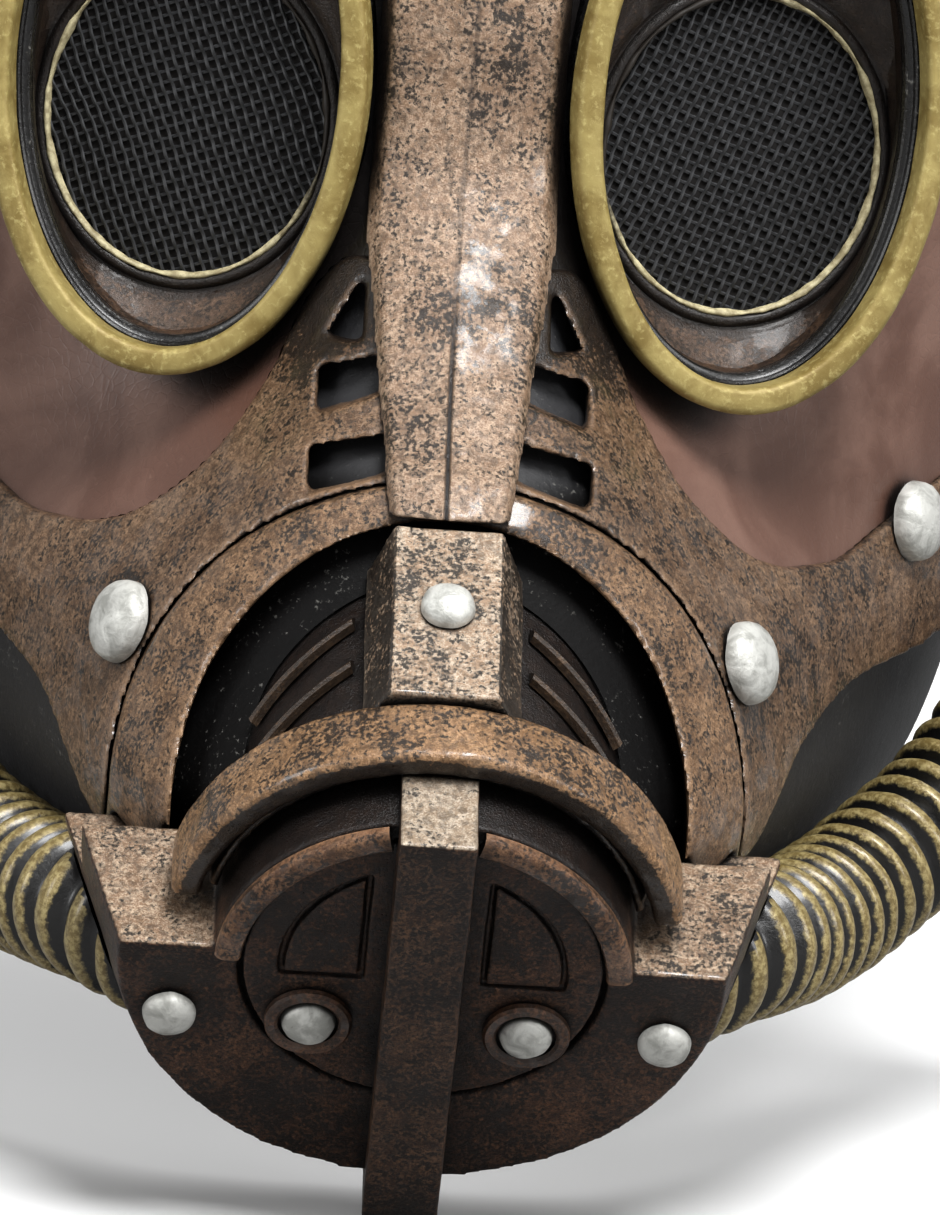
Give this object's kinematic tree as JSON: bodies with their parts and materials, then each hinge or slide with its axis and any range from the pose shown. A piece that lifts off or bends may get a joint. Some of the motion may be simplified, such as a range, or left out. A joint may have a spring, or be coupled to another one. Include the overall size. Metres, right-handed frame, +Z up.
{
  "type": "gas mask style costume mask",
  "caption": "Costume face mask in gas mask style: oval goggles with net, nose plate, tilted drum filter box under a visor, ribbed side hoses, domed rivets and a head strap.",
  "frame": {"origin": "on the bridge of the wearer's nose, at eye height, 6 mm behind the mask's inner wall", "axes": "+X to the right as the mask is seen from the front, +Y back into the wearer's head, +Z up"},
  "size_m": [0.1686, 0.2666, 0.1914],
  "materials": {
    "bronze": "cast latex painted as antique bronze, satin, black in the hollows",
    "dark_bronze": "cast latex painted as dark bronze, satin",
    "brass": "cast latex painted as dull brass",
    "silver": "cast latex painted as dull silver",
    "brown_skin": "cast latex painted as red-brown leather, semi-gloss",
    "black_rubber": "black latex, semi-gloss",
    "hose_rubber": "black ribbed latex with brass paint on its crests",
    "net": "dark grey woven net",
    "elastic": "black woven elastic"
  },
  "bodies": {
    "root": {"face_shell": "black_rubber", "leather_face": "brown_skin", "muzzle_plate": "bronze", "mouth_arch": "bronze", "nose_plate": "bronze", "filter_box": "dark_bronze", "visor": "bronze", "centre_block": "bronze", "filter_bar": "bronze", "block_rivet": "silver", "plate_rim_left": "bronze", "disc_rivet_left": "silver", "disc_washer_left": "bronze", "shoulder_rivet_left": "silver", "louvre_1_left": "dark_bronze", "louvre_2_left": "dark_bronze", "goggle_rim_left": "brass", "eye_cup_left": "black_rubber", "eye_funnel_left": "bronze", "eye_screen_left": "net", "cheek_rivet_left": "silver", "arm_rivet_left": "silver", "hose_left": "hose_rubber", "hose_socket_left": "black_rubber", "plate_rim_right": "bronze", "disc_rivet_right": "silver", "disc_washer_right": "bronze", "shoulder_rivet_right": "silver", "louvre_1_right": "dark_bronze", "louvre_2_right": "dark_bronze", "goggle_rim_right": "brass", "eye_cup_right": "black_rubber", "eye_funnel_right": "bronze", "eye_screen_right": "net", "cheek_rivet_right": "silver", "arm_rivet_right": "silver", "hose_right": "hose_rubber", "hose_socket_right": "black_rubber", "head_strap": "elastic"}
  },
  "joints": []
}
